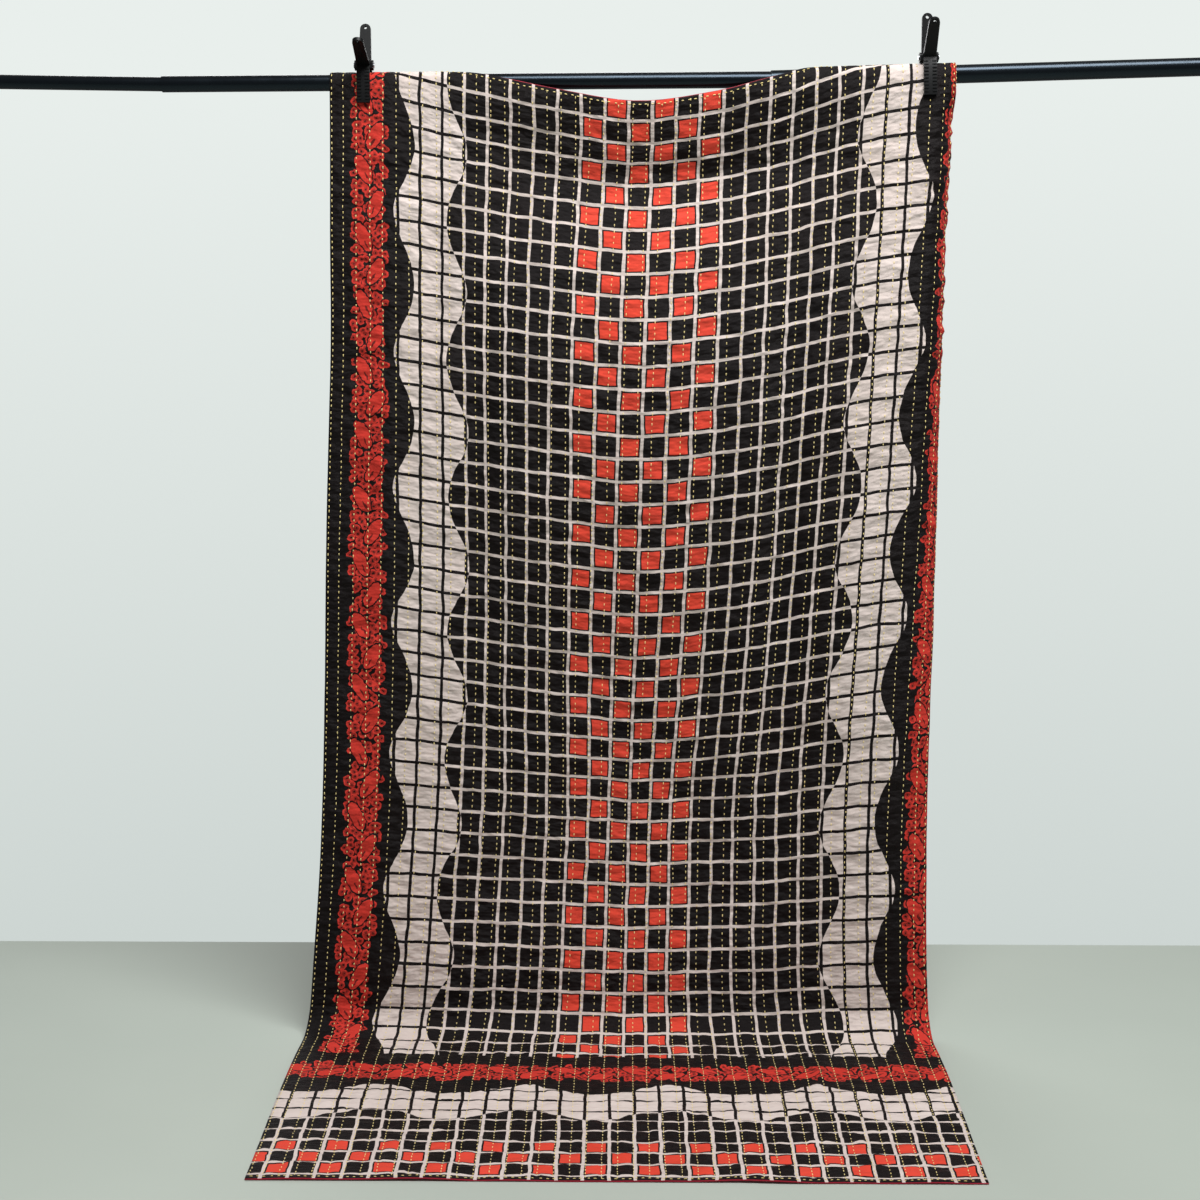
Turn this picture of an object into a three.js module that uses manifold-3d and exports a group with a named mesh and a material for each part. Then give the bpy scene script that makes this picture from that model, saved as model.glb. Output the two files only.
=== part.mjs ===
// A kantha quilt hung over a telescopic crossbar by two spring clamps, its foot laid forward on the floor.
// Millimetres. +X runs along the bar, +Y goes behind the quilt, +Z is up. The origin is on the bar's axis.
import * as THREE from "three";
import { mergeVertices } from "three/addons/utils/BufferGeometryUtils.js";
import Module from "manifold-3d";

const wasm = await Module();
wasm.setup();

// Driving dimensions of the quilt
const CELL = 42; // pitch of the printed check
const EDGE_LEFT = -14.1 * CELL; // flat width, measured from the axis of the print
const EDGE_RIGHT = 13.66 * CELL;
const LENGTH = 2410; // flat length, from the top hem to the foot hem
const CHANNELS = 46; // stitched channels across the width
const CORE = 2.4; // thickness of the layers along a stitch row
const PUFF = 0.9; // how far the face swells between two stitch rows
const ROD_GAP = 0.9; // cloth to bar
const COLLAR_CLEAR = 1.2; // extra room where the cloth passes the step of two tubes
const COLLAR_REACH = 45;
const FLOOR = -1760; // height of the floor under the bar's axis
const FOOT_RADIUS = 60; // bend of the cloth where it turns onto the floor
const FOOT_START = 1708; // length from the crest of the bar to that bend
const CURL_WIDTH = 75; // strip of the right border that rolls back
const CORNER_TUCK = 41.5; // cloth past the crest of the bar at the corners

// Rows of the solid: over the bar, down the hang, round the foot and along the floor
const ROWS = { crest: 10, hang: 15, foot: 5, floor: 4 };
const CREST_REACH = 40; // how far below the crest the close rows go
const HANG_SPACING = 1.35; // closer rows near the top

// Crossbar: outer diameter and the two ends of each tube's axis
const TUBES = {
  left: { diameter: 25, from: { x: -1160, z: 1.6 }, to: { x: -855, z: -3.2 } },
  middle: { diameter: 28.5, from: { x: -855, z: -3.2 }, to: { x: 234, z: 2.5 } },
  right: { diameter: 32, from: { x: 234, z: 2.5 }, to: { x: 1020, z: 23.8 } },
};
const TUBE_OVERLAP = 22; // length of a tube inside the next one
const TUBE_PLAY = 0.8; // clearance of that fit, which lets the tubes lean a little
const SOCKET_DEPTH = 26;
const TUBE_CHAMFER = 1.2;
const TUBE_SIDES = 32;

// Where the top hem lies: cloth past the crest of the bar, negative where the hem hangs in front of it
const HEM = [
  { x: -560, tuck: 37 },
  { x: -495, tuck: 38 },
  { x: -425, tuck: 24 },
  { x: -345, tuck: 2 },
  { x: -250, tuck: -20 },
  { x: -146, tuck: -42 },
  { x: -3, tuck: -63 },
  { x: 150, tuck: -45 },
  { x: 252, tuck: -24 },
  { x: 330, tuck: 4 },
  { x: 415, tuck: 28 },
  { x: 520, tuck: 44 },
  { x: 565, tuck: 46 },
];

// Sections down the quilt. at: length from the top hem. left to right: place along the bar of the left
// edge, the eighth check line each side of the axis, the axis itself and the right edge. spread: how far
// the fourth check lines stand out from an even spacing. sag: share of the top hem's sag that is left.
// slip: how far the whole section hangs below an even drop. belly: how far the middle stands behind the
// bar's front. curl: roll of the right edge in degrees
const SECTION_COLUMNS = [
  ...["at", "left", "gridLeft", "axis", "gridRight", "right"],
  ...["spread", "sag", "slip", "belly", "curl"],
];
const SECTIONS = [
  [0, -552, -312, 24, 356, 559, 2, 1, 0, 0, 105],
  [80, -552, -313, 23, 355, 560, 2, 0.9, 5, 9, 100],
  [165, -553, -314, 21, 353, 559, 3, 0.73, 8, 20, 98],
  [330, -556, -316, 15, 348, 555, 7, 0.65, 7, 0, 96],
  [500, -558, -317, 9, 341, 553, 8, 0.63, 5, -14, 87],
  [840, -572, -316, 1, 327, 550, 9, 0.64, -3, 12, 64],
  [1180, -582, -325, -10, 310, 545, 4, 0.62, -14, 48, 38],
  [1340, -588, -332, -15, 303, 542, -2, 0.48, -12, 56, 28],
  [1510, -598, -344, -19, 303, 542, -3, 0.35, -7, 46, 16],
  [1680, -612, -355, -23, 304, 546, -4, 0.25, -4, 16, 8],
  [1840, -625, -367, -26, 314, 553, -2, 0.1, 3, 0, 2],
  [2410, -613, -358, -27, 308, 536, 0, 0, 0, 0, 1],
].map((row) => Object.fromEntries(SECTION_COLUMNS.map((column, i) => [column, row[i]])));
const GRID_SPAN = 8 * CELL; // from the axis to the lines that gridLeft and gridRight place

// Soft upright folds. line: distance from the axis of the print in checks, reach: half width, depth: how
// far the trough goes back, top and bottom: the stretch of the length that it runs over
const FOLDS = [
  { line: -7.3, reach: 62, depth: 13, top: 190, bottom: 1500 },
  { line: -11.4, reach: 55, depth: -7, top: 260, bottom: 1650 },
  { line: -1.2, reach: 80, depth: 6, top: 520, bottom: 1700 },
  { line: 6.6, reach: 60, depth: 12, top: 210, bottom: 1450 },
  { line: 9.9, reach: 55, depth: -8, top: 240, bottom: 1600 },
];

// Spring clamps: place along the bar, and the lean of each handle from upright, in degrees
const CLAMPS = [
  { side: "left", x: -491, front: 67, back: 14 },
  { side: "right", x: 514, front: 45, back: 2 },
];
const LEVER = { width: 23, thickness: 6, handle: 79, tipRadius: 9.5, jawTop: 10, jawEnd: -38, rise: 29 };
const PIVOT = { y: -6, offset: 10, radius: 2.4, play: 0.35, ear: 6.5, lobe: 9, head: 4.4, headDepth: 1.6 };
// Ears along the bar, each side of the clamp's middle. lobe: where the front ears' round plates start
const EARS = { front: { from: 9.5, lobe: 12, to: 16.5 }, back: { from: 5, to: 9 } };
const JAW_GAP = 0.4;
const HANG_HOLE = { diameter: 6, fromTip: 7 };
const SPRING = { inner: 3.1, outer: 5.4, length: 7.5, coils: 3 };
const ROUND_SIDES = 20;

const printed = new THREE.MeshStandardMaterial({ color: 0x2a2326, roughness: 0.9, metalness: 0 });
const barPaint = new THREE.MeshStandardMaterial({ color: 0x17181a, roughness: 0.45, metalness: 0.2 });
const nylon = new THREE.MeshStandardMaterial({ color: 0x1b1b1d, roughness: 0.5, metalness: 0 });
const steel = new THREE.MeshStandardMaterial({ color: 0x8d9094, roughness: 0.35, metalness: 1 });

const part = new THREE.Group();

// Smooth value of one column of a table, read at a place along its key
function tableAt(table, key, column, place) {
  const last = table.length - 1;
  if (place <= table[0][key]) return table[0][column];
  if (place >= table[last][key]) return table[last][column];
  let i = 0;
  while (table[i + 1][key] < place) i += 1;
  const slope = (n) => (table[n + 1][column] - table[n][column]) / (table[n + 1][key] - table[n][key]);
  const tangent = (n) => {
    if (n === 0) return slope(0);
    if (n === last) return slope(last - 1);
    return (slope(n - 1) + slope(n)) / 2;
  };
  const span = table[i + 1][key] - table[i][key];
  const t = (place - table[i][key]) / span;
  const rise = (1 + 2 * t) * (1 - t) ** 2 * table[i][column] + t * t * (3 - 2 * t) * table[i + 1][column];
  return rise + span * (t * (1 - t) ** 2 * tangent(i) - t * t * (1 - t) * tangent(i + 1));
}

// Height and lean of the crossbar's axis at a place along it
function barAt(x) {
  const tube = Object.values(TUBES).find((one) => x <= one.to.x) ?? TUBES.right;
  const lean = (tube.to.z - tube.from.z) / (tube.to.x - tube.from.x);
  return { z: tube.from.z + (x - tube.from.x) * lean, lean: Math.atan(lean) };
}

// Radius of the cloth's middle layer round the bar: it swells before the thicker right tube starts
function wrapRadius(x) {
  const step = TUBES.right.from.x;
  const swell = THREE.MathUtils.smoothstep(x, step - 2 * COLLAR_REACH, step - COLLAR_REACH / 2);
  const bare = THREE.MathUtils.lerp(TUBES.middle.diameter, TUBES.right.diameter, swell) / 2;
  const collar = COLLAR_CLEAR * Math.exp(-(((x - step) / COLLAR_REACH) ** 2));
  return bare + collar + ROD_GAP + CORE / 2;
}

// Place along the bar, and roll-back, of a flat distance across the quilt in one section
function acrossAt(across, at) {
  const read = (column) => tableAt(SECTIONS, "at", column, at);
  if (across < -GRID_SPAN) {
    const share = (across + GRID_SPAN) / (EDGE_LEFT + GRID_SPAN);
    return { x: THREE.MathUtils.lerp(read("gridLeft"), read("left"), share), back: 0 };
  }
  if (across <= GRID_SPAN) {
    const outer = across < 0 ? read("gridLeft") : read("gridRight");
    const even = THREE.MathUtils.lerp(read("axis"), outer, Math.abs(across) / GRID_SPAN);
    return { x: even + read("spread") * Math.sin((Math.PI * across) / GRID_SPAN), back: 0 };
  }
  const curl = THREE.MathUtils.degToRad(read("curl"));
  const radius = CURL_WIDTH / curl;
  const curlStart = EDGE_RIGHT - CURL_WIDTH;
  const xStart = read("right") - radius * Math.sin(curl);
  if (across <= curlStart) {
    const share = (across - GRID_SPAN) / (curlStart - GRID_SPAN);
    return { x: THREE.MathUtils.lerp(read("gridRight"), xStart, share), back: 0 };
  }
  const turn = (across - curlStart) / radius;
  return { x: xStart + radius * Math.sin(turn), back: radius * (1 - Math.cos(turn)) };
}

// Length of cloth from the crest of the bar down to a point, negative behind the crest
function reachAt(x, at) {
  const sagging = (CORNER_TUCK - tableAt(HEM, "x", "tuck", x)) * tableAt(SECTIONS, "at", "sag", at);
  return at - CORNER_TUCK + sagging + tableAt(SECTIONS, "at", "slip", at);
}

// Depth of the upright folds at a point of the flat quilt
function foldDepth(across, at) {
  let depth = 0;
  for (const fold of FOLDS) {
    const side = (across - fold.line * CELL) / fold.reach;
    const middle = (fold.top + fold.bottom) / 2;
    const along = (at - middle) / ((fold.bottom - fold.top) / 2);
    if (Math.abs(along) < 1) depth += fold.depth * Math.exp(-2 * side * side) * (1 - along * along) ** 2;
  }
  return depth;
}

// Middle layer of the hung quilt at a flat point: across from the axis of the print, at from the top hem
function hungPoint(across, at) {
  const { x, back } = acrossAt(across, at);
  const bar = barAt(x);
  const radius = wrapRadius(x);
  const quarter = (Math.PI / 2) * radius;
  const reach = reachAt(x, at);
  if (reach <= -quarter) return new THREE.Vector3(x, radius, bar.z + reach + quarter);
  if (reach <= quarter) {
    const turn = reach / radius;
    return new THREE.Vector3(x, -radius * Math.sin(turn), bar.z + radius * Math.cos(turn));
  }
  const side = (2 * across - EDGE_RIGHT - EDGE_LEFT) / (EDGE_RIGHT - EDGE_LEFT);
  const middle = Math.cos((Math.PI / 2) * Math.min(1, Math.abs(side))) ** 2;
  const bulge = tableAt(SECTIONS, "at", "belly", at) * middle;
  const loose = THREE.MathUtils.smoothstep(reach, quarter + LEVER.width, quarter + 4 * LEVER.width);
  const y = -radius + (bulge + back + foldDepth(across, at)) * loose;
  const ground = FLOOR + CORE / 2;
  if (reach <= FOOT_START) {
    const share = (reach - quarter) / (FOOT_START - quarter);
    return new THREE.Vector3(x, y, THREE.MathUtils.lerp(bar.z, ground + FOOT_RADIUS, share));
  }
  const turn = Math.min((reach - FOOT_START) / FOOT_RADIUS, Math.PI / 2);
  const onFloor = Math.max(0, reach - FOOT_START - (Math.PI / 2) * FOOT_RADIUS);
  const forward = FOOT_RADIUS * (1 - Math.cos(turn)) + onFloor;
  return new THREE.Vector3(x, y - forward, ground + FOOT_RADIUS * (1 - Math.sin(turn)));
}

// Point of the face or the back of the quilt, off its middle layer
function clothPoint(across, at, off) {
  const step = 0.5;
  const along = hungPoint(across, at + step).sub(hungPoint(across, at - step));
  const aside = hungPoint(across + step, at).sub(hungPoint(across - step, at));
  return hungPoint(across, at).addScaledVector(along.cross(aside).normalize(), off);
}

// Length from the top hem of one row of the solid, which differs from column to column
function rowLength(row, across) {
  const crestEnd = Math.max(0, tableAt(HEM, "x", "tuck", acrossAt(across, 0).x)) + CREST_REACH;
  if (row <= ROWS.crest) return (crestEnd * row) / ROWS.crest;
  const evenFoot = FOOT_START + CORNER_TUCK;
  const footStart = evenFoot + FOOT_START - reachAt(acrossAt(across, evenFoot).x, evenFoot);
  const hangRow = row - ROWS.crest;
  if (hangRow <= ROWS.hang) {
    return THREE.MathUtils.lerp(crestEnd, footStart, (hangRow / ROWS.hang) ** HANG_SPACING);
  }
  const footEnd = footStart + (Math.PI / 2) * FOOT_RADIUS;
  const footRow = hangRow - ROWS.hang;
  if (footRow <= ROWS.foot) return THREE.MathUtils.lerp(footStart, footEnd, footRow / ROWS.foot);
  return THREE.MathUtils.lerp(footEnd, LENGTH, (footRow - ROWS.foot) / ROWS.floor);
}

// The quilt: a face with a swell between the stitch rows, a back with one column for each row, and a rim
function quiltGeometry() {
  const rows = ROWS.crest + ROWS.hang + ROWS.foot + ROWS.floor;
  const faceColumns = 2 * CHANNELS;
  const positions = [];
  const triangles = [];
  const addLayer = (columns, offset) => {
    const first = positions.length / 3;
    for (let row = 0; row <= rows; row += 1) {
      for (let column = 0; column <= columns; column += 1) {
        const across = THREE.MathUtils.lerp(EDGE_LEFT, EDGE_RIGHT, column / columns);
        positions.push(...clothPoint(across, rowLength(row, across), offset(column)).toArray());
      }
    }
    return (row, column) => first + row * (columns + 1) + column;
  };
  const pointAt = (index) => new THREE.Vector3().fromArray(positions, 3 * index);
  const addQuad = (a, b, c, d) => {
    const split = pointAt(a).distanceTo(pointAt(c)) <= pointAt(b).distanceTo(pointAt(d));
    triangles.push(...(split ? [a, b, c, a, c, d] : [b, c, d, b, d, a]));
  };
  const face = addLayer(faceColumns, (column) => CORE / 2 + (column % 2) * PUFF);
  const back = addLayer(CHANNELS, () => -CORE / 2);
  for (let row = 0; row < rows; row += 1) {
    for (let column = 0; column < faceColumns; column += 1) {
      addQuad(face(row, column), face(row + 1, column), face(row + 1, column + 1), face(row, column + 1));
    }
    for (let column = 0; column < CHANNELS; column += 1) {
      addQuad(back(row, column), back(row, column + 1), back(row + 1, column + 1), back(row + 1, column));
    }
    addQuad(face(row, 0), back(row, 0), back(row + 1, 0), face(row + 1, 0));
    const end = faceColumns;
    addQuad(face(row, end), face(row + 1, end), back(row + 1, CHANNELS), back(row, CHANNELS));
  }
  for (let channel = 0; channel < CHANNELS; channel += 1) {
    const column = 2 * channel;
    triangles.push(face(0, column), face(0, column + 1), back(0, channel));
    triangles.push(face(0, column + 1), face(0, column + 2), back(0, channel + 1));
    triangles.push(face(0, column + 1), back(0, channel + 1), back(0, channel));
    triangles.push(face(rows, column + 1), face(rows, column), back(rows, channel));
    triangles.push(face(rows, column + 2), face(rows, column + 1), back(rows, channel + 1));
    triangles.push(back(rows, channel + 1), face(rows, column + 1), back(rows, channel));
  }
  const geometry = new THREE.BufferGeometry();
  geometry.setAttribute("position", new THREE.Float32BufferAttribute(positions, 3));
  geometry.setIndex(triangles);
  geometry.computeVertexNormals();
  return geometry;
}

function addMesh(parent, name, geometry, material) {
  const mesh = new THREE.Mesh(geometry, material);
  mesh.name = name;
  parent.add(mesh);
  return mesh;
}

// One tube of the crossbar, turned about its own axis, with a socket for the thinner tube at its left end
function addTube(name, tube, inner, overlap) {
  const radius = tube.diameter / 2;
  const axis = new THREE.Vector2(tube.to.x - tube.from.x, tube.to.z - tube.from.z);
  const length = axis.length() + overlap;
  const profile = [];
  if (inner) {
    const bore = inner.diameter / 2 + TUBE_PLAY;
    profile.push(new THREE.Vector2(0, SOCKET_DEPTH), new THREE.Vector2(bore, SOCKET_DEPTH));
    profile.push(new THREE.Vector2(bore, 0), new THREE.Vector2(radius, 0));
  } else {
    profile.push(new THREE.Vector2(0, 0), new THREE.Vector2(radius - TUBE_CHAMFER, 0));
    profile.push(new THREE.Vector2(radius, TUBE_CHAMFER));
  }
  profile.push(new THREE.Vector2(radius, length - TUBE_CHAMFER));
  profile.push(new THREE.Vector2(radius - TUBE_CHAMFER, length), new THREE.Vector2(0, length));
  const mesh = addMesh(part, name, new THREE.LatheGeometry(profile, TUBE_SIDES), barPaint);
  mesh.position.set(tube.from.x, 0, tube.from.z);
  mesh.rotation.set(0, -Math.atan2(axis.y, axis.x), -Math.PI / 2, "YXZ");
}

function toSolid(geometry) {
  const bare = geometry.clone();
  bare.deleteAttribute("normal");
  bare.deleteAttribute("uv");
  const merged = mergeVertices(bare, 1e-4);
  const vertProperties = new Float32Array(merged.attributes.position.array);
  const triVerts = new Uint32Array(merged.index.array);
  return new wasm.Manifold(new wasm.Mesh({ numProp: 3, vertProperties, triVerts }));
}

function toGeometry(solid) {
  const mesh = solid.getMesh();
  const geometry = new THREE.BufferGeometry();
  geometry.setAttribute("position", new THREE.BufferAttribute(mesh.vertProperties, 3));
  geometry.setIndex(new THREE.BufferAttribute(mesh.triVerts, 1));
  geometry.computeVertexNormals();
  return geometry;
}

// A flat outline in the plane across the bar, given as (Y, Z) points, made thick along the bar
function extrudeAlongBar(points, from, to) {
  const shape = new THREE.Shape(points);
  const geometry = new THREE.ExtrudeGeometry(shape, { depth: to - from, bevelEnabled: false });
  const yAxis = new THREE.Vector3(0, 1, 0);
  const zAxis = new THREE.Vector3(0, 0, 1);
  const xAxis = new THREE.Vector3(1, 0, 0);
  geometry.applyMatrix4(new THREE.Matrix4().makeBasis(yAxis, zAxis, xAxis));
  return geometry.translate(from, 0, 0);
}

// A cylinder along the bar, round a point of the plane across it
function roundAlongBar(centre, radius, from, to) {
  const outline = [];
  for (let side = 0; side < ROUND_SIDES; side += 1) {
    const turn = (2 * Math.PI * side) / ROUND_SIDES;
    outline.push(new THREE.Vector2(centre.x + radius * Math.cos(turn), centre.y + radius * Math.sin(turn)));
  }
  return extrudeAlongBar(outline, from, to);
}

// Outline of a bent bar of even thickness along a line of points
function barOutline(line, thickness) {
  const sides = [[], []];
  line.forEach((point, i) => {
    const before = line[i - 1];
    const after = line[i + 1];
    const into = (i === 0 ? after.clone().sub(point) : point.clone().sub(before)).normalize();
    const out = i === line.length - 1 ? into : after.clone().sub(point).normalize();
    const mitre = new THREE.Vector2(-(into.y + out.y), into.x + out.x).normalize();
    const spread = thickness / 2 / Math.max(0.5, mitre.dot(new THREE.Vector2(-into.y, into.x)));
    sides[0].push(point.clone().addScaledVector(mitre, spread));
    sides[1].unshift(point.clone().addScaledVector(mitre, -spread));
  });
  return [...sides[0], ...sides[1]];
}

// A lever's handle: a tapered strip with a round tip and a hanging hole, up from the elbow along a direction
function handleGeometry(elbow, direction) {
  const shape = new THREE.Shape();
  shape.moveTo(-LEVER.width / 2, 0);
  shape.lineTo(LEVER.width / 2, 0);
  shape.absarc(0, LEVER.handle - LEVER.tipRadius, LEVER.tipRadius, 0, Math.PI, false);
  const hole = new THREE.Path();
  hole.absarc(0, LEVER.handle - HANG_HOLE.fromTip, HANG_HOLE.diameter / 2, 0, 2 * Math.PI, true);
  shape.holes.push(hole);
  const depth = LEVER.thickness;
  const curveSegments = ROUND_SIDES / 2;
  const handle = new THREE.ExtrudeGeometry(shape, { depth, bevelEnabled: false, curveSegments });
  const alongBar = new THREE.Vector3(1, 0, 0);
  const up = new THREE.Vector3(0, direction.x, direction.y);
  const out = alongBar.clone().cross(up);
  handle.translate(0, 0, -depth / 2);
  handle.applyMatrix4(new THREE.Matrix4().makeBasis(alongBar, up, out));
  return handle.translate(0, elbow.x, elbow.y);
}

// One moulded lever: a jaw against the cloth, an arm past the pin, a handle with a hanging hole, two ears.
// side is -1 for the lever in front of the bar and 1 for the one behind it
function leverGeometry(side, jawY, leanDegrees, ears) {
  const lean = THREE.MathUtils.degToRad(leanDegrees);
  const handle = new THREE.Vector2(side * Math.sin(lean), Math.cos(lean));
  const elbow = new THREE.Vector2(PIVOT.y + side * PIVOT.offset, LEVER.rise);
  const line = [
    new THREE.Vector2(side * jawY, LEVER.jawEnd),
    new THREE.Vector2(side * jawY, LEVER.jawTop),
    elbow,
    elbow.clone().addScaledVector(handle, LEVER.thickness),
  ];
  const half = LEVER.width / 2;
  let lever = toSolid(extrudeAlongBar(barOutline(line, LEVER.thickness), -half, half));
  lever = lever.add(toSolid(handleGeometry(elbow, handle)));
  const pin = new THREE.Vector2(PIVOT.y, LEVER.rise);
  const neck = [
    new THREE.Vector2(pin.x, pin.y - PIVOT.ear),
    new THREE.Vector2(elbow.x, elbow.y - PIVOT.ear),
    new THREE.Vector2(elbow.x, elbow.y + PIVOT.ear / 2),
    new THREE.Vector2(pin.x, pin.y + PIVOT.ear),
  ];
  if (side < 0) neck.reverse();
  for (const end of [-1, 1]) {
    const from = Math.min(end * ears.from, end * ears.to);
    const to = Math.max(end * ears.from, end * ears.to);
    lever = lever.add(toSolid(roundAlongBar(pin, PIVOT.ear, from, to)));
    lever = lever.add(toSolid(extrudeAlongBar(neck, from, to)));
    if (ears.lobe) {
      const inner = Math.min(end * ears.lobe, end * ears.to);
      lever = lever.add(toSolid(roundAlongBar(pin, PIVOT.lobe, inner, inner + ears.to - ears.lobe)));
    }
  }
  const bore = PIVOT.radius + PIVOT.play;
  lever = lever.subtract(toSolid(roundAlongBar(pin, bore, -2 * half, 2 * half)));
  return toGeometry(lever);
}

// Pivot pin with two flat heads, along the bar
function pinGeometry() {
  const half = EARS.front.to + PIVOT.play;
  const end = half + PIVOT.headDepth;
  const profile = [
    new THREE.Vector2(0, -end),
    new THREE.Vector2(PIVOT.head, -end),
    new THREE.Vector2(PIVOT.head, -half),
    new THREE.Vector2(PIVOT.radius, -half),
    new THREE.Vector2(PIVOT.radius, half),
    new THREE.Vector2(PIVOT.head, half),
    new THREE.Vector2(PIVOT.head, end),
    new THREE.Vector2(0, end),
  ];
  return new THREE.LatheGeometry(profile, ROUND_SIDES).rotateZ(-Math.PI / 2);
}

// Closed coils of the spring, as one ridged sleeve round the pin
function springGeometry() {
  const profile = [new THREE.Vector2(SPRING.inner, -SPRING.length / 2)];
  const pitch = SPRING.length / SPRING.coils;
  for (let coil = 0; coil < SPRING.coils; coil += 1) {
    const start = -SPRING.length / 2 + coil * pitch;
    profile.push(new THREE.Vector2((SPRING.inner + SPRING.outer) / 2, start));
    profile.push(new THREE.Vector2(SPRING.outer, start + pitch / 3));
    profile.push(new THREE.Vector2(SPRING.outer, start + (2 * pitch) / 3));
  }
  profile.push(new THREE.Vector2((SPRING.inner + SPRING.outer) / 2, SPRING.length / 2));
  profile.push(new THREE.Vector2(SPRING.inner, SPRING.length / 2), profile[0].clone());
  return new THREE.LatheGeometry(profile, ROUND_SIDES).rotateZ(-Math.PI / 2);
}

// One spring clamp, square to the bar where it grips
function addClamp(clamp) {
  const bar = barAt(clamp.x);
  const group = new THREE.Group();
  group.position.set(clamp.x, 0, bar.z);
  group.rotation.y = -bar.lean;
  const cloth = wrapRadius(clamp.x) + CORE / 2 + PUFF;
  const jawY = cloth + JAW_GAP + LEVER.thickness / 2;
  const name = `clamp_${clamp.side}`;
  addMesh(group, `${name}_front_lever`, leverGeometry(-1, jawY, clamp.front, EARS.front), nylon);
  addMesh(group, `${name}_back_lever`, leverGeometry(1, jawY, clamp.back, EARS.back), nylon);
  const pin = addMesh(group, `${name}_pin`, pinGeometry(), steel);
  pin.position.set(0, PIVOT.y, LEVER.rise);
  const spring = addMesh(group, `${name}_spring`, springGeometry(), steel);
  spring.position.copy(pin.position);
  part.add(group);
}

addMesh(part, "quilt", quiltGeometry(), printed);
addTube("rod_left", TUBES.left, null, TUBE_OVERLAP);
addTube("rod_middle", TUBES.middle, TUBES.left, TUBE_OVERLAP);
addTube("rod_right", TUBES.right, TUBES.middle, 0);
CLAMPS.forEach(addClamp);

export default part;
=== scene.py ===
# Looks of a kantha quilt hung over a telescopic crossbar by two spring clamps, its foot laid on the floor.
# Sizes are in millimetres and turn to metres as each mesh is made. +X runs along the bar, +Y to the back.
import math

import bpy
import numpy as np
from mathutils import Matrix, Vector


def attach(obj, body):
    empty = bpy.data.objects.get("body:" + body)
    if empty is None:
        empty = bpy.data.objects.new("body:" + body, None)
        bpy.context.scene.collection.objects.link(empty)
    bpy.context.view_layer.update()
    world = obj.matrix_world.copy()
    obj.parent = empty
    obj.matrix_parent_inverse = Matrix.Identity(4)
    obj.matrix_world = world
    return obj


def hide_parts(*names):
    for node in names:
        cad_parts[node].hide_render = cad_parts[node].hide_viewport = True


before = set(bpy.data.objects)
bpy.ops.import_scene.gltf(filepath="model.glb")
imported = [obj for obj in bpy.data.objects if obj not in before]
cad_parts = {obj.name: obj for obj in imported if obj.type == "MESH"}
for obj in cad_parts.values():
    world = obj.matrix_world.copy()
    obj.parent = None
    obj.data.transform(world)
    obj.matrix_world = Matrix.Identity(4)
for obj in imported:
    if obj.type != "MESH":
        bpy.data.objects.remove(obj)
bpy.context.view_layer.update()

MM = 0.001
rng = np.random.default_rng(46)

# Flat quilt
CELL = 42.0  # pitch of the printed check
EDGE_LEFT = -14.1 * CELL  # measured from the axis of the print
EDGE_RIGHT = 13.66 * CELL
WIDTH = EDGE_RIGHT - EDGE_LEFT
LENGTH = 2410.0  # from the top hem to the foot hem
CHANNELS = 46  # stitched channels across the width
CHANNEL = WIDTH / CHANNELS
CORE = 2.4  # thickness of the layers along a stitch row
PUFF = 0.9  # swell between two stitch rows
PEEK = 1.2  # how far the back shows past the top hem

# Hung quilt
ROD_GAP = 0.9
COLLAR_CLEAR = 1.2
COLLAR_REACH = 45.0
FLOOR = -1760.0
FOOT_RADIUS = 60.0
FOOT_START = 1708.0
CURL_WIDTH = 75.0
CORNER_TUCK = 41.5
LOOSE_FROM, LOOSE_TO = 23.0, 92.0  # below the bar, where the cloth starts to leave its front
PROBE = 0.5  # distance to each side over which a direction along the cloth is taken
TUBES = [
    {"diameter": 25.0, "from_x": -1160.0, "from_z": 1.6, "to_x": -855.0, "to_z": -3.2},
    {"diameter": 28.5, "from_x": -855.0, "from_z": -3.2, "to_x": 234.0, "to_z": 2.5},
    {"diameter": 32.0, "from_x": 234.0, "from_z": 2.5, "to_x": 1020.0, "to_z": 23.8},
]

# Where the top hem lies: cloth past the crest of the bar, negative where the hem hangs in front of it
HEM = [
    {"x": -560, "tuck": 37},
    {"x": -495, "tuck": 38},
    {"x": -425, "tuck": 24},
    {"x": -345, "tuck": 2},
    {"x": -250, "tuck": -20},
    {"x": -146, "tuck": -42},
    {"x": -3, "tuck": -63},
    {"x": 150, "tuck": -45},
    {"x": 252, "tuck": -24},
    {"x": 330, "tuck": 4},
    {"x": 415, "tuck": 28},
    {"x": 520, "tuck": 44},
    {"x": 565, "tuck": 46},
]

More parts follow.
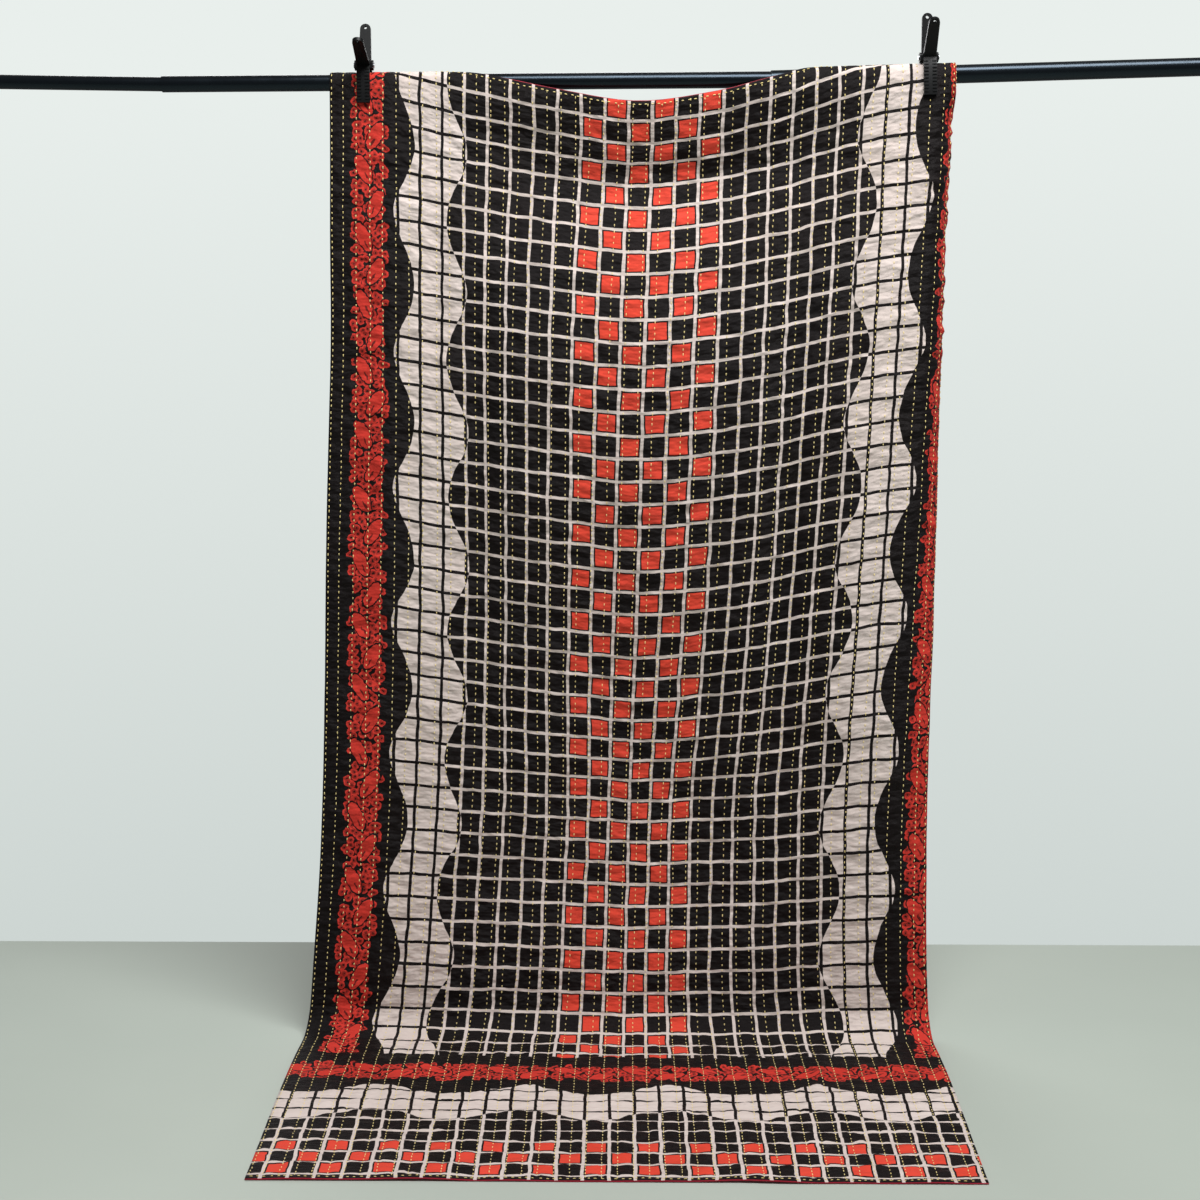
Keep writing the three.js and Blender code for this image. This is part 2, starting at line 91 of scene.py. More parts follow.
# Sections down the quilt. at: length from the top hem. left to right: places along the bar of the left edge,
# the eighth check line each side of the axis, the axis and the right edge. spread: how far the fourth check
# lines stand out. sag: share of the hem's sag that is left. slip: drop below an even hang. belly: how far the
# middle stands back. curl: roll of the right edge in degrees
SECTION_COLUMNS = (
    "at", "left", "grid_left", "axis", "grid_right", "right", "spread", "sag", "slip", "belly", "curl",
)
SECTION_ROWS = [
    (0, -552, -312, 24, 356, 559, 2, 1, 0, 0, 105),
    (80, -552, -313, 23, 355, 560, 2, 0.9, 5, 9, 100),
    (165, -553, -314, 21, 353, 559, 3, 0.73, 8, 20, 98),
    (330, -556, -316, 15, 348, 555, 7, 0.65, 7, 0, 96),
    (500, -558, -317, 9, 341, 553, 8, 0.63, 5, -14, 87),
    (840, -572, -316, 1, 327, 550, 9, 0.64, -3, 12, 64),
    (1180, -582, -325, -10, 310, 545, 4, 0.62, -14, 48, 38),
    (1340, -588, -332, -15, 303, 542, -2, 0.48, -12, 56, 28),
    (1510, -598, -344, -19, 303, 542, -3, 0.35, -7, 46, 16),
    (1680, -612, -355, -23, 304, 546, -4, 0.25, -4, 16, 8),
    (1840, -625, -367, -26, 314, 553, -2, 0.1, 3, 0, 2),
    (2410, -613, -358, -27, 308, 536, 0, 0, 0, 0, 1),
]
SECTIONS = [dict(zip(SECTION_COLUMNS, row)) for row in SECTION_ROWS]
GRID_SPAN = 8 * CELL

# Soft upright folds. line: distance from the axis in checks, reach: half width, depth: how far it goes back
FOLDS = [
    {"line": -7.3, "reach": 62, "depth": 13, "top": 190, "bottom": 1500},
    {"line": -11.4, "reach": 55, "depth": -7, "top": 260, "bottom": 1650},
    {"line": -1.2, "reach": 80, "depth": 6, "top": 520, "bottom": 1700},
    {"line": 6.6, "reach": 60, "depth": 12, "top": 210, "bottom": 1450},
    {"line": 9.9, "reach": 55, "depth": -8, "top": 240, "bottom": 1600},
]

# Mesh of the quilt: the face has four columns to a channel, the back one
FACE_SHARE = 4
FACE_COLUMNS = FACE_SHARE * CHANNELS
ROWS = 400

# Relief of the cloth
GROOVE = 4.0  # half width of the dip along a stitch row
GROOVE_CALM = 0.6  # share of the small wrinkles that a stitch row flattens
CRINKLE = 1.3  # height of the small wrinkles that the stitching draws across each channel
CRINKLE_ROWS = (0.8, 2.6)  # their finest and coarsest reach down the mesh
CRINKLE_COLUMNS = 1.7  # their reach across it
RIPPLE = 1.1  # height of the slow unevenness of washed cloth, which both faces follow
RIPPLE_ROWS, RIPPLE_COLUMNS = 4, 6  # its reach down the mesh and across it
LYING_FROM, LYING_TO = 1680.0, 1800.0  # lengths over which the cloth comes to lie on the floor
WRINKLED = (42.0, 100.0)  # below the bar's axis, where wrinkles begin, clear of the jaws, and are full
CREASED = (18.0, 60.0)  # where creases begin, clear of the bar, and are full
EDGE_CALM = 60.0  # width along the edges that the hem keeps straighter
EDGE_WAVE = 0.35  # share of the ripple that is left at the edges
EDGE_THIN = 12.0  # width over which the relief rises from the edges
DIP = CORE / 4  # the furthest that the relief goes into the layers

# Creases left by folding, placed in checks across from the axis and down from the top hem. turn: degrees
# from level, half: half length and half width, depth: how far the trough goes in, or out where it is negative
CREASES = [
    {"across": 0.3, "down": 4.1, "turn": 0, "half": (520, 140), "depth": 18.0},
    {"across": 0.3, "down": 3.6, "turn": 0, "half": (500, 62), "depth": 5.0},
    {"across": 0.3, "down": 3.9, "turn": 0, "half": (470, 26), "depth": 4.0},
    {"across": -9.3, "down": 9.6, "turn": 86, "half": (230, 30), "depth": 10.0},
    {"across": 9.2, "down": 12.0, "turn": 95, "half": (210, 26), "depth": 5.0},
    {"across": -12.6, "down": 25.0, "turn": 16, "half": (95, 8.0), "depth": 4.0},
    {"across": -12.4, "down": 27.4, "turn": 3, "half": (100, 7.5), "depth": 3.2},
    {"across": -3.0, "down": 13.2, "turn": 24, "half": (120, 12), "depth": 1.4},
    {"across": 5.0, "down": 9.0, "turn": -35, "half": (150, 14), "depth": 1.8},
    {"across": 3.2, "down": 19.0, "turn": -28, "half": (170, 15), "depth": 1.6},
    {"across": -4.5, "down": 24.0, "turn": 18, "half": (140, 13), "depth": 1.3},
    {"across": 7.5, "down": 29.5, "turn": -16, "half": (150, 12), "depth": 1.4},
    {"across": -10.5, "down": 41.0, "turn": 0, "half": (330, 170), "depth": -12.0},
    {"across": 8.2, "down": 47.0, "turn": 82, "half": (160, 14), "depth": -4.0},
]

# Stitches
STITCH_PITCH = 10.8
STITCH_LENGTH = 5.6
BACK_LENGTH = 0.8  # length of a stitch on the back, as a share of its length on the face
THREAD_WIDTH = 1.7
THREAD_HEIGHT = 1.2
THREAD_BOW = [(-1.0, -0.5), (-0.55, 0.35), (0.55, 0.35), (1.0, -0.5)]  # half lengths along, heights up
EDGE_INSET = 4.0  # the outer rows lie just inside the edges
ROW_INSET = 4.0  # the rows stop short of the hems
HEM_INSET = 6.0  # hem stitches from the hem's edge
FLOOR_CLEAR = 5.0  # the back has no stitches lower than this over the floor, where they would lie in it

# Unevenness of sewing by hand. slip: along the row, drift: from stitch to stitch, wander: limit of the drift
HAND = {
    "pitch": (0.93, 1.08), "start": (0.3, 0.7), "length": (0.8, 1.18),
    "slip": 0.7, "drift": 0.12, "wander": 1.2, "aside": 0.25,
}
HEM_HAND = {"start": 0.75, "length": (0.85, 1.15), "slip": 0.8, "aside": 0.4}

# Spring clamps, in the frame of each clamp: the bar's axis is at its origin
CLAMPS = [
    {"side": "left", "x": -491.0},
    {"side": "right", "x": 514.0},
]
LEVER = {"width": 23.0, "thickness": 6.0, "jaw_top": 10.0, "rise": 29.0}
PIVOT = {"y": -6.0, "offset": 10.0}
JAW_GAP = 0.4
RIB = {
    "pitch": 5.8, "height": 3.0, "depth": 1.1, "sunk": 0.8,
    "width": 8.0, "inset": 0.6, "count": 10, "top": 20.0,
}

# Eased edges of the solids that stay
TUBE_EDGE, LEVER_EDGE, PIN_EDGE, SPRING_EDGE = 0.4, 0.9, 0.3, 0.2
EDGE_ANGLE = 35.0  # degrees between two faces that make an edge
WELD = 0.01  # points nearer than this are joined

# Print, in checks from the left-hand red column and from the seventh line, or in millimetres from the top hem
FLAT_MAP = "flat"  # the quilt's own map: metres across from the print's axis, metres from the top hem
AXIS_COLUMN, FIRST_ROW = 3.0, 6.86
PRINT_END = 1901 / CELL - FIRST_ROW
LINE = 2.8 / CELL  # half width of the drawn lines
LINE_DYE = 0.95  # the black dye creeps into the lines left in it
SQUARE_COLUMNS = 6.0
SQUARE_INSET = 5.5 / CELL
WAVER, WAVER_SIZE = 0.13, 1.1 * CELL  # how far the printed edges stray, in checks, and over what length
RIBBON_TURN = 6.0  # checks to a wave of a ribbon
RIBBONS = {"swing": 0.465, "crest": 5.7, "left": -6.52, "right": 13.53, "half": 1.2, "pinch": 0.06}
BORDER = {"axis": 3.575, "out": 12.86, "half": 38.0}  # half width in millimetres, the rest in checks

# End panel: crest and column in checks, squares in rows of the check, the rest in millimetres
END = {
    "band": 1976.0, "ribbon": 2109.0, "swing": 18.5, "crest": -7.1, "half": 57.0, "pinch": 5.0,
    "line": 2395.0, "column": 0.46, "squares": 3.0,
}

# Flower border, from its middle line: a leaf on alternate sides, and small flowers that fill the rest
HALF_REPEAT = 1.42 * CELL
LEAF = {"centre": (-11.0, 30.0), "half": (12.0, 27.0), "turn": -28.0, "gap": 1.16}
SLIT = {"centre": (-6.0, 41.0), "half": (1.8, 8.0), "shade": 0.8}
FLOWER = {
    "pitch": 12.5, "stray": 0.75, "reach": 31.8,
    "radius": 0.56, "heart": 0.34, "eye": 0.13, "shade": 0.45,
}
RAGGED, RAGGED_SIZE = 6.0, 9.0  # how far the cutting of the blocks strays, and over what length

# Dyes of the face where they are fresh and where they have faded
DYES = {
    "black": ("#090607", "#130B0B"),
    "cream": ("#DACDC8", "#C6B7AF"),
    "red": ("#DF4B3D", "#CB3F2B"),
    "border": ("#D03C33", "#B62F25"),
}
DYED_ROUGH, BARE_ROUGH = 0.5, 0.9  # heavy black dye closes the weave, which stays open elsewhere

# Other finishes: the two shades of an uneven one, or the one shade of an even one
BACKING = ("#B02036", "#8E1A2C")
THREAD = ("#EEDFA0", "#D8BC66")
FLOOR_PAINT = ("#ACB4AB", "#A5ADA4")
# The enamel's second colour tints its reflections pale blue: a painted reflection colour, standing in for a
# bluish light rather than the enamel's own
ENAMEL, ENAMEL_PAINTED_BLUE_REFLECTION = "#040506", "#B4CCE2"
NYLON = "#060708"
STEEL = "#B4B7BA"

# Unevenness of the finishes: size of the patches, and roughness in the smoothest and the roughest of them
PATCH = {
    "print_fade": 160.0, "back_fade": 120.0, "thread_wear": 50.0, "enamel_peel": 4.0,
    "enamel_scuff": 30.0, "nylon_grain": 1.2, "steel_bloom": 3.0, "floor_cloud": 500.0,
}
ENAMEL_ROUGH, NYLON_ROUGH, STEEL_ROUGH = (0.24, 0.3), (0.36, 0.52), (0.28, 0.45)
NOISE_SPAN = (0.3, 0.7)  # values that a noise mostly keeps between
PEEL_DEPTH, GRAIN_DEPTH = 0.1, 0.2

# Fine surface of the cotton
WRINKLE = (22.0, 10.5)  # size of the finest wrinkles across the quilt and down it
WRINKLE_DEPTH = 3.8
WEAVE = 1.5  # drawn coarser, because the real threads of 0.4 mm are too fine to show
WEAVE_SHARE = 0.04  # depth of the weave as a share of the wrinkles' depth

# Floor and surround
FLOOR_SIDE, FLOOR_FRONT, FLOOR_BACK = 4500.0, -4500.0, 526.0
FLOOR_DROP = 0.5  # gap under the foot
# Surround that the camera sees: painted shade, darker low down and paler high up, as on a lit wall
WALL_PAINTED_SHADE_LOW, WALL_PAINTED_LIT_HIGH = "#CDD5D2", "#E9EFEC"
WALL_PAINTED_SHADE_SPAN = (-0.3, 0.17)  # heights of the view directions over which the surround grows paler
SKY, SKY_STRENGTH = "#EEF1F0", 0.24

# Soft lights: where each one is, what it faces, its size, and its power in watts
LIGHTS = [
    {
        "name": "key", "place": (780, -1950, 2650), "target": (-100, 0, -900),
        "size": (2800, 1500), "power": 252,
    },
    {
        "name": "rear", "place": (-900, 3000, 1200), "target": (0, 0, -900),
        "size": (2400, 1800), "power": 50,
    },
]

# Camera of the photograph
CAMERA_PLACE = (-32.0, -3215.0, -540.0)
CAMERA_PITCH, CAMERA_YAW = 6.97, 0.687  # degrees down, degrees to the left
LENS, SENSOR = 52.5, 36.0


# Shape of the hung cloth

def table_at(table, key, column, place):
    """Smooth value of one column of a table, read at places along its key."""
    keys = np.array([row[key] for row in table], float)
    values = np.array([row[column] for row in table], float)
    slopes = np.diff(values) / np.diff(keys)
    tangents = np.concatenate([slopes[:1], (slopes[:-1] + slopes[1:]) / 2, slopes[-1:]])
    place = np.clip(place, keys[0], keys[-1])
    i = np.clip(np.searchsorted(keys, place, side="right") - 1, 0, len(keys) - 2)
    span = keys[i + 1] - keys[i]
    t = (place - keys[i]) / span
    rise = (1 + 2 * t) * (1 - t) ** 2 * values[i] + t * t * (3 - 2 * t) * values[i + 1]
    return rise + span * (t * (1 - t) ** 2 * tangents[i] - t * t * (1 - t) * tangents[i + 1])


def smoothstep(value, low, high):
    """0 up to a low value and 1 from a high one, with a smooth rise between them."""
    t = np.clip((value - low) / (high - low), 0, 1)
    return t * t * (3 - 2 * t)


def bar_height(x):
    """Height of the crossbar's axis at places along it."""
    ends_x = [TUBES[0]["from_x"]] + [tube["to_x"] for tube in TUBES]
    ends_z = [TUBES[0]["from_z"]] + [tube["to_z"] for tube in TUBES]
    return np.interp(x, ends_x, ends_z)


def wrap_radius(x):
    """Radius of the cloth's middle layer round the bar."""
    middle, right = TUBES[1], TUBES[2]
    step = right["from_x"]
    swell = smoothstep(x, step - 2 * COLLAR_REACH, step - COLLAR_REACH / 2)
    bare = (middle["diameter"] + (right["diameter"] - middle["diameter"]) * swell) / 2
    collar = COLLAR_CLEAR * np.exp(-(((x - step) / COLLAR_REACH) ** 2))
    return bare + collar + ROD_GAP + CORE / 2


def across_at(across, at):
    """Places along the bar, and roll-back, of flat distances across the quilt."""
    grid_left, axis, grid_right, left, right, spread = (
        table_at(SECTIONS, "at", column, at)
        for column in ("grid_left", "axis", "grid_right", "left", "right", "spread")
    )
    curl = np.radians(table_at(SECTIONS, "at", "curl", at))
    radius = CURL_WIDTH / curl
    curl_start = EDGE_RIGHT - CURL_WIDTH
    x_start = right - radius * np.sin(curl)
    turn = np.maximum(across - curl_start, 0) / radius
    beyond_left = grid_left + (left - grid_left) * (across + GRID_SPAN) / (EDGE_LEFT + GRID_SPAN)
    outer = np.where(across < 0, grid_left, grid_right)
    inside = axis + (outer - axis) * np.abs(across) / GRID_SPAN
    inside = inside + spread * np.sin(math.pi * across / GRID_SPAN)
    beyond_right = grid_right + (x_start - grid_right) * (across - GRID_SPAN) / (curl_start - GRID_SPAN)
    rolled = x_start + radius * np.sin(turn)
    x = np.where(across < -GRID_SPAN, beyond_left, inside)
    x = np.where(across > GRID_SPAN, beyond_right, x)
    x = np.where(across > curl_start, rolled, x)
    return x, radius * (1 - np.cos(turn))


def fold_depth(across, at):
    """Depth of the upright folds."""
    depth = np.zeros_like(across)
    for fold in FOLDS:
        side = (across - fold["line"] * CELL) / fold["reach"]
        middle = (fold["top"] + fold["bottom"]) / 2
        along = (at - middle) / ((fold["bottom"] - fold["top"]) / 2)
        depth += fold["depth"] * np.exp(-2 * side * side) * np.maximum(0, 1 - along * along) ** 2
    return depth


def hung_point(across, at):
    """Middle layer of the hung quilt at flat points, as an array of X, Y, Z."""
    x, back = across_at(across, at)
    bar_z = bar_height(x)
    radius = wrap_radius(x)
    quarter = math.pi / 2 * radius
    sagging = (CORNER_TUCK - table_at(HEM, "x", "tuck", x)) * table_at(SECTIONS, "at", "sag", at)
    reach = at - CORNER_TUCK + sagging + table_at(SECTIONS, "at", "slip", at)
    side = (2 * across - EDGE_RIGHT - EDGE_LEFT) / WIDTH
    middle = np.cos(math.pi / 2 * np.minimum(1, np.abs(side))) ** 2
    bulge = table_at(SECTIONS, "at", "belly", at) * middle
    loose = smoothstep(reach, quarter + LOOSE_FROM, quarter + LOOSE_TO)
    front_y = -radius + (bulge + back + fold_depth(across, at)) * loose
    ground = FLOOR + CORE / 2
    share = (reach - quarter) / (FOOT_START - quarter)
    hang_z = bar_z + (ground + FOOT_RADIUS - bar_z) * share
    foot = np.clip((reach - FOOT_START) / FOOT_RADIUS, 0, math.pi / 2)
    on_floor = np.maximum(0, reach - FOOT_START - math.pi / 2 * FOOT_RADIUS)
    foot_y = front_y - FOOT_RADIUS * (1 - np.cos(foot)) - on_floor
    foot_z = ground + FOOT_RADIUS * (1 - np.sin(foot))
    over = reach / radius
    y = np.where(reach <= quarter, -radius * np.sin(over), front_y)
    y = np.where(reach <= -quarter, radius, y)
    y = np.where(reach > FOOT_START, foot_y, y)
    z = np.where(reach <= quarter, bar_z + radius * np.cos(over), hang_z)
    z = np.where(reach <= -quarter, bar_z + reach + quarter, z)
    z = np.where(reach > FOOT_START, foot_z, z)
    return np.stack([x, y, z], axis=-1)


def cloth_normal(across, at):
    """Direction out of the quilt's face."""
    along = hung_point(across, at + PROBE) - hung_point(across, at - PROBE)
    aside = hung_point(across + PROBE, at) - hung_point(across - PROBE, at)
    normal = np.cross(along, aside)
    return normal / np.linalg.norm(normal, axis=-1, keepdims=True)


# Relief of the cloth

def blurred(field, down, across):
    """A field of numbers smoothed by that many rows and columns."""
    for axis, width in ((0, down), (1, across)):
        reach = int(3 * width) + 1
        kernel = np.exp(-0.5 * (np.arange(-reach, reach + 1) / width) ** 2)
        kernel /= kernel.sum()
        margins = [(reach, reach) if n == axis else (0, 0) for n in (0, 1)]
        padded = np.pad(field, margins, mode="reflect")
        field = np.apply_along_axis(np.convolve, axis, padded, kernel, "valid")
    return field


def looseness(across, at, begin, full):
    """0 where the cloth is drawn tight over the bar, down to one distance below it, and 1 from another."""
    hung = hung_point(across, at)
    return smoothstep(bar_height(hung[..., 0]) - hung[..., 2], begin, full)


def cloth_ripple(across, at):
    """Slow waves and folding creases of the whole cloth, for each row and column of the face's mesh."""
    ripple = blurred(rng.standard_normal(across.shape), RIPPLE_ROWS, RIPPLE_COLUMNS)
    to_edge = np.minimum(across - EDGE_LEFT, EDGE_RIGHT - across)
    ripple *= RIPPLE / ripple.std() * (EDGE_WAVE + (1 - EDGE_WAVE) * smoothstep(to_edge, 0, EDGE_CALM))
    ripple *= looseness(across, at, *WRINKLED)
    creased = looseness(across, at, *CREASED)
    for crease in CREASES:
        turn = math.radians(crease["turn"])
        half_length, half_width = crease["half"]
        x = across - crease["across"] * CELL
        y = at - crease["down"] * CELL
        along = (x * math.cos(turn) - y * math.sin(turn)) / half_length
        aside = (x * math.sin(turn) + y * math.cos(turn)) / half_width
        trough = np.exp(-aside * aside) * np.maximum(0, 1 - along * along) ** 2
        ripple -= crease["depth"] * trough * creased
    lying = smoothstep(at, LYING_FROM, LYING_TO)
    return ripple * (1 - lying) + np.abs(ripple) * lying


def face_relief(across, at):
    """Height of the face over the rippled middle layer, for each row and column of its mesh."""
    noise = rng.standard_normal(across.shape)
    fine, coarse = (blurred(noise, rows, CRINKLE_COLUMNS) for rows in CRINKLE_ROWS)
    crinkle = fine - coarse
    crinkle *= looseness(across, at, *WRINKLED) * CRINKLE / crinkle.std()
    from_row = np.abs((across - EDGE_LEFT + CHANNEL / 2) % CHANNEL - CHANNEL / 2)
    groove = np.exp(-((from_row / GROOVE) ** 2))
    relief = PUFF * (1 - groove) + crinkle * (1 - GROOVE_CALM * groove)
    to_hem = np.minimum(at, LENGTH - at)
    to_edge = np.minimum(across - EDGE_LEFT, EDGE_RIGHT - across)
    return CORE / 2 + np.maximum(relief, -DIP) * smoothstep(np.minimum(to_hem, to_edge), 0, EDGE_THIN)


# Meshes

def grid_faces(first, rows, columns, flip):
    """Corner numbers of the quads of a grid of points."""
    row, column = np.meshgrid(np.arange(rows), np.arange(columns), indexing="ij")
    corner = (first + row * (columns + 1) + column).ravel()
    ring = [corner, corner + columns + 1, corner + columns + 2, corner + 1]
    return np.stack(ring[::-1] if flip else ring, axis=1)


def make_object(name, points, faces, material, smooth=True):
    """A mesh object from points in millimetres."""
    mesh = bpy.data.meshes.new(name)
    mesh.from_pydata((np.asarray(points) * MM).tolist(), [], [list(map(int, face)) for face in faces])
    mesh.polygons.foreach_set("use_smooth", np.full(len(mesh.polygons), smooth))
    mesh.materials.append(material)
    made = bpy.data.objects.new(name, mesh)
    bpy.context.scene.collection.objects.link(made)
    return made


def make_quilt(across, at, face_height, back_height, face_cotton, back_cotton):
    """The quilt: a face with its relief, a back, and a rim that joins them."""
    back_across = across[:, ::FACE_SHARE]
    back_at = at[:, ::FACE_SHARE] - PEEK * (1 - at[:, ::FACE_SHARE] / LENGTH)
    layers = [(across, at, face_height), (back_across, back_at, back_height[:, ::FACE_SHARE])]
    points, flat = [], []
    for a, b, height in layers:
        layer = hung_point(a, b) + cloth_normal(a, b) * height[..., None]
        points.append(layer.reshape(-1, 3))
        flat.append(np.stack([a, b], axis=-1).reshape(-1, 2))
    first_back = len(points[0])
    points, flat = np.concatenate(points), np.concatenate(flat)
    points[:, 2] = np.maximum(points[:, 2], FLOOR)
    face = grid_faces(0, ROWS, FACE_COLUMNS, False)
    back = grid_faces(first_back, ROWS, CHANNELS, True)
    rim = []
    for row in range(ROWS):
        for column, back_column, turn in ((0, 0, 1), (FACE_COLUMNS, CHANNELS, -1)):
            corner = row * (FACE_COLUMNS + 1) + column
            behind = first_back + row * (CHANNELS + 1) + back_column
            rim.append([corner, behind, behind + CHANNELS + 1, corner + FACE_COLUMNS + 1][::turn])
    for row, turn in ((0, -1), (ROWS, 1)):
        for channel in range(CHANNELS):
            corner = row * (FACE_COLUMNS + 1) + channel * FACE_SHARE
            behind = first_back + row * (CHANNELS + 1) + channel
            ring = [behind, behind + 1] + [corner + n for n in range(FACE_SHARE, -1, -1)]
            rim.append(ring[::turn])
    quilt = make_object("quilt_cloth", points, [*face.tolist(), *back.tolist(), *rim], face_cotton)
    quilt.data.materials.append(back_cotton)
    slots = np.ones(len(quilt.data.polygons), int)
    slots[: len(face)] = 0
    quilt.data.polygons.foreach_set("material_index", slots)
    corners = np.zeros(len(quilt.data.loops), int)
    quilt.data.loops.foreach_get("vertex_index", corners)
    quilt.data.uv_layers.new(name=FLAT_MAP).data.foreach_set("uv", (flat[corners] * MM).ravel())
    return quilt


def running_places():
    """Flat places of the stitches in rows along the quilt: middle across, middle at, and half length."""
    across, at, half = [], [], []
    for row in range(CHANNELS + 1):
        line = np.clip(EDGE_LEFT + row * CHANNEL, EDGE_LEFT + EDGE_INSET, EDGE_RIGHT - EDGE_INSET)
        pitch = STITCH_PITCH * rng.uniform(*HAND["pitch"])
        count = int((LENGTH - 2 * ROW_INSET) / pitch)
        middles = ROW_INSET + (np.arange(count) + rng.uniform(*HAND["start"])) * pitch
        at.append(middles + rng.normal(0, HAND["slip"], count))
        drift = np.cumsum(rng.normal(0, HAND["drift"], count))
        drift -= np.linspace(0, drift[-1], count)
        wander = np.clip(drift, -HAND["wander"], HAND["wander"])
        across.append(line + wander + rng.normal(0, HAND["aside"], count))
        half.append(STITCH_LENGTH / 2 * rng.uniform(*HAND["length"], count))
    return np.concatenate(across), np.concatenate(at), np.concatenate(half)


def hem_places():
    """Flat places of the stitches along the top hem and the foot hem, given in the same way."""
    count = int(WIDTH / STITCH_PITCH) - 1
    line = EDGE_LEFT + (np.arange(count) + HEM_HAND["start"]) * STITCH_PITCH
    across = np.tile(line, 2) + rng.normal(0, HEM_HAND["slip"], 2 * count)
    at = np.repeat([HEM_INSET, LENGTH - HEM_INSET], count) + rng.normal(0, HEM_HAND["aside"], 2 * count)
    half = STITCH_LENGTH / 2 * rng.uniform(*HEM_HAND["length"], 2 * count)
    return across, at, half


def height_at(field, across, at):
    """A height of the quilt's mesh, read between its points."""
    column = np.clip((across - EDGE_LEFT) / WIDTH * FACE_COLUMNS, 0, FACE_COLUMNS - 1e-6)
    row = np.clip(at / LENGTH * ROWS, 0, ROWS - 1e-6)
    c, r = column.astype(int), row.astype(int)
    s, t = column - c, row - r
    upper = field[r, c] * (1 - s) + field[r, c + 1] * s
    lower = field[r + 1, c] * (1 - s) + field[r + 1, c + 1] * s
    return upper * (1 - t) + lower * t


def make_stitches(name, places, along, height, side, material):
    """Stitches as one mesh: each one a bowed thread of four sides between two tips sunk in the cloth."""
    across, at, half = places
    step_across, step_at = along[0] * PROBE, along[1] * PROBE
    rings = []
    for station, lift in THREAD_BOW:
        a = across + along[0] * station * half
        b = at + along[1] * station * half
        normal = cloth_normal(a, b)
        out = normal * side
        middle = hung_point(a, b) + normal * (height_at(height, a, b) + side * lift * THREAD_HEIGHT)[:, None]
        if abs(station) == 1:
            rings.append(middle[:, None, :])
            continue
        step = hung_point(a + step_across, b + step_at) - hung_point(a - step_across, b - step_at)
        aside = np.cross(out, step)
        aside /= np.linalg.norm(aside, axis=-1, keepdims=True)
        wide, tall = aside * THREAD_WIDTH / 2, out * THREAD_HEIGHT / 2
        rings.append(np.stack([middle + wide, middle + tall, middle - wide, middle - tall], axis=1))
    points = np.concatenate(rings, axis=1).reshape(-1, 3)
    tip, low, high, end = 0, 1, 5, 9  # where a stitch's tip, its two rings and its other tip begin
    one = []
    for n in range(4):
        m = (n + 1) % 4
        one += [(tip, low + m, low + n), (low + n, low + m, high + m), (low + n, high + m, high + n)]
        one += [(high + n, high + m, end)]
    firsts = (end + 1) * np.arange(len(across))
    faces = (np.array(one)[None] + firsts[:, None, None]).reshape(-1, 3)
    return make_object(name, points, faces.tolist(), material)


def make_ribs(clamp, side, nylon):
    """Gripping ribs in two columns down the outside of one jaw."""
    x = clamp["x"]
    jaw_y = float(wrap_radius(np.array(x))) + CORE / 2 + PUFF + JAW_GAP + LEVER["thickness"]
    elbow_y = abs(PIVOT["y"] + side * PIVOT["offset"]) + LEVER["thickness"] / 2
    sides = [(0, 1, 2, 3), (7, 6, 5, 4), (0, 4, 5, 1), (1, 5, 6, 2), (2, 6, 7, 3), (3, 7, 4, 0)]
    points, faces = [], []
    for n in range(RIB["count"]):
        z = RIB["top"] - n * RIB["pitch"]
        share = np.clip((z - LEVER["jaw_top"]) / (LEVER["rise"] - LEVER["jaw_top"]), 0, 1)
        seat = jaw_y + (elbow_y - jaw_y) * share
        for column in (-1, 1):
            inner = column * (LEVER["width"] / 2 - RIB["width"])
            outer = column * (LEVER["width"] / 2 - RIB["inset"])
            first = len(points)
            for depth, half in ((-RIB["sunk"], RIB["height"] / 2), (RIB["depth"], RIB["height"] / 4)):
                for across, up in ((inner, -half), (outer, -half), (outer, half), (inner, half)):
                    points.append((across, side * (seat + depth), z + up))
            turn = -1 if column * side > 0 else 1
            faces += [[first + corner for corner in face][::turn] for face in sides]
    tube = next(tube for tube in TUBES if x < tube["to_x"])
    lean = math.atan2(tube["to_z"] - tube["from_z"], tube["to_x"] - tube["from_x"])
    local = np.array(points)
    placed = np.stack([
        x + local[:, 0] * math.cos(lean) - local[:, 2] * math.sin(lean),
        local[:, 1],
        float(bar_height(x)) + local[:, 0] * math.sin(lean) + local[:, 2] * math.cos(lean),
    ], axis=-1)
    jaw = "front" if side < 0 else "back"
    return make_object(f"clamp_{clamp['side']}_{jaw}_ribs", placed, faces, nylon, smooth=False)


def dress_node(name, material, edge):
    """A CAD node with a finish, smooth where it is round and with its edges eased."""
    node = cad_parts[name]
    node.data.materials.clear()
    node.data.materials.append(material)
    if "custom_normal" in node.data.attributes:
        node.data.attributes.remove(node.data.attributes["custom_normal"])
    node.data.polygons.foreach_set("use_smooth", np.ones(len(node.data.polygons), bool))
    weld = node.modifiers.new("weld", "WELD")
    weld.merge_threshold = WELD * MM
    eased = node.modifiers.new("eased", "BEVEL")
    eased.width = edge * MM
    eased.segments = 2
    eased.limit_method = "ANGLE"
    eased.angle_limit = math.radians(EDGE_ANGLE)
    eased.harden_normals = True


# Materials

def colour(code):
    """Linear red, green, blue and alpha of an sRGB hex code."""
    channels = [int(code[n : n + 2], 16) / 255 for n in (1, 3, 5)]
    return (*[c / 12.92 if c <= 0.04045 else ((c + 0.055) / 1.055) ** 2.4 for c in channels], 1.0)


